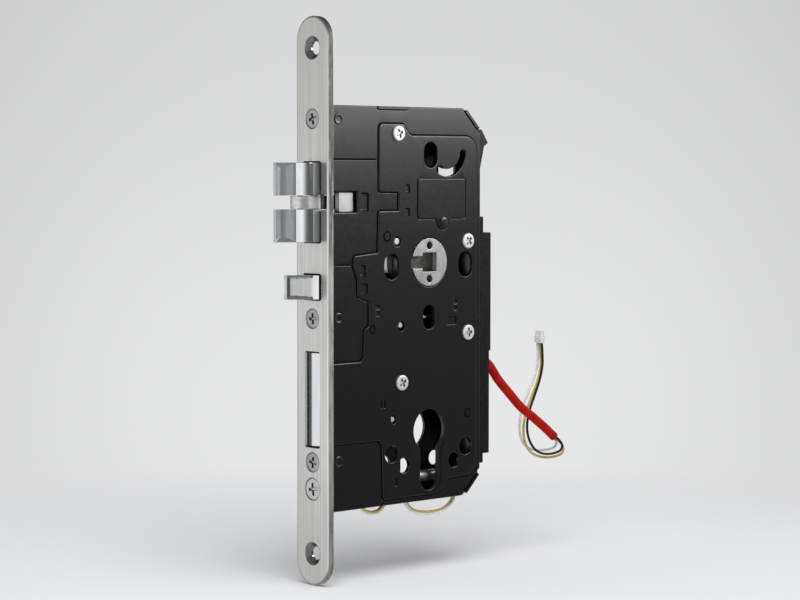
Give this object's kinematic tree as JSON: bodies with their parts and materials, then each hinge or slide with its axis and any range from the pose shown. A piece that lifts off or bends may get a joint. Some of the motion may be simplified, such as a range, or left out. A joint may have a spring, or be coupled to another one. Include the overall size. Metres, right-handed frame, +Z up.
{
  "type": "mortise lock case",
  "caption": "Mortise lock case with a long faceplate, two-claw latch with friction lever, control latch, dead bolt, spindle follower, cylinder cut-out and monitoring cable.",
  "frame": {"origin": "middle of the faceplate's back, which seats on the edge of the door", "axes": "+Z up along the faceplate, +Y into the door, +X across the door towards the cover"},
  "size_m": [0.02, 0.1693, 0.235],
  "materials": {
    "brushed_steel": "satin",
    "zinc_plate": "bright zinc",
    "spring_steel": "drawn wire",
    "black_coat": "satin black",
    "black_plastic": "moulded",
    "rubber": "matt",
    "red_sleeve": "satin",
    "white_wire": "satin",
    "yellow_wire": "satin",
    "black_wire": "satin",
    "white_nylon": "moulded"
  },
  "bodies": {
    "case": {"faceplate": "brushed_steel", "case_tray": "black_coat", "case_cover": "black_coat", "access_plate": "black_coat", "access_rivet": "black_coat", "front_post_upper": "zinc_plate", "front_post_middle": "zinc_plate", "front_post_lower": "zinc_plate", "faceplate_screw_upper": "zinc_plate", "faceplate_screw_middle": "zinc_plate", "faceplate_screw_lower": "zinc_plate", "cylinder_screw": "zinc_plate", "cover_post_top": "zinc_plate", "cover_post_rear_upper": "zinc_plate", "cover_post_rear_lower": "zinc_plate", "cover_post_front": "zinc_plate", "cover_screw_top": "zinc_plate", "cover_screw_rear_upper": "zinc_plate", "cover_screw_rear_lower": "zinc_plate", "cover_screw_front": "zinc_plate", "latch_spring_seat": "zinc_plate", "latch_spring": "spring_steel", "control_spring_seat": "zinc_plate", "control_latch_spring": "spring_steel", "follower_spring": "spring_steel", "key_lever_pin": "zinc_plate", "key_lever_spring": "spring_steel", "key_spring_seat": "zinc_plate", "microswitch": "black_plastic", "duct_base": "black_plastic", "duct_cover": "black_plastic", "rear_clip": "black_plastic", "cable_grommet": "rubber", "wire_harness": "black_wire", "cable_sleeve": "red_sleeve", "wire_white": "white_wire", "wire_yellow": "yellow_wire", "wire_black": "black_wire", "connector": "white_nylon"},
    "latch": {"latch_head": "brushed_steel", "latch_tail": "zinc_plate", "friction_lever_pin": "zinc_plate"},
    "friction_lever": {"friction_lever": "brushed_steel"},
    "control_latch": {"control_latch_head": "brushed_steel", "control_latch_rod": "zinc_plate"},
    "dead_bolt": {"dead_bolt_head": "brushed_steel", "dead_bolt_tail": "zinc_plate", "dead_bolt_rivet_lower": "zinc_plate", "dead_bolt_rivet_upper": "zinc_plate"},
    "follower": {"follower_hub": "zinc_plate", "follower_arm": "zinc_plate"},
    "key_lever": {"key_lever": "zinc_plate"},
    "switch_leaf": {"switch_leaf": "spring_steel"}
  },
  "joints": [
    {"name": "follower_turn", "type": "hinge", "parent": "case", "child": "follower", "pos_m": [0, 0.057, 0.015], "axis": [-1, 0, 0], "range_deg": [0, 40], "stiffness_Nm_per_rad": 0.3, "springref_deg": -20.05},
    {"name": "latch_slide", "type": "slide", "parent": "case", "child": "latch", "axis": [0, 1, 0], "range_m": [0, 0.0171], "stiffness_N_per_m": 200, "springref_m": -0.01, "deforming": ["latch_spring"]},
    {"name": "friction_lever_swing", "type": "hinge", "parent": "latch", "child": "friction_lever", "pos_m": [0, -0.0018, 0.041], "axis": [0, 0, 1], "range_deg": [-20, 20], "stiffness_Nm_per_rad": 0.01},
    {"name": "control_latch_slide", "type": "slide", "parent": "case", "child": "control_latch", "axis": [0, 1, 0], "range_m": [0, 0.0108], "stiffness_N_per_m": 200, "springref_m": -0.008, "deforming": ["control_latch_spring"]},
    {"name": "dead_bolt_slide", "type": "slide", "parent": "case", "child": "dead_bolt", "axis": [0, -1, 0], "range_m": [0, 0.02]},
    {"name": "switch_leaf_turn", "type": "hinge", "parent": "case", "child": "switch_leaf", "pos_m": [0, 0.0248, -0.0667], "axis": [-1, 0, 0], "range_deg": [0, 15]},
    {"name": "key_lever_turn", "type": "hinge", "parent": "case", "child": "key_lever", "pos_m": [0, 0.076, -0.03], "axis": [-1, 0, 0], "range_deg": [0, 12], "stiffness_Nm_per_rad": 0.05, "springref_deg": -17.19, "deforming": ["key_lever_spring"]}
  ],
  "couplings": [
    {"joint": "follower_turn", "follows": "latch_slide", "rad_per_m": 40.8},
    {"joint": "switch_leaf_turn", "follows": "dead_bolt_slide", "rad_per_m": 12.2}
  ]
}
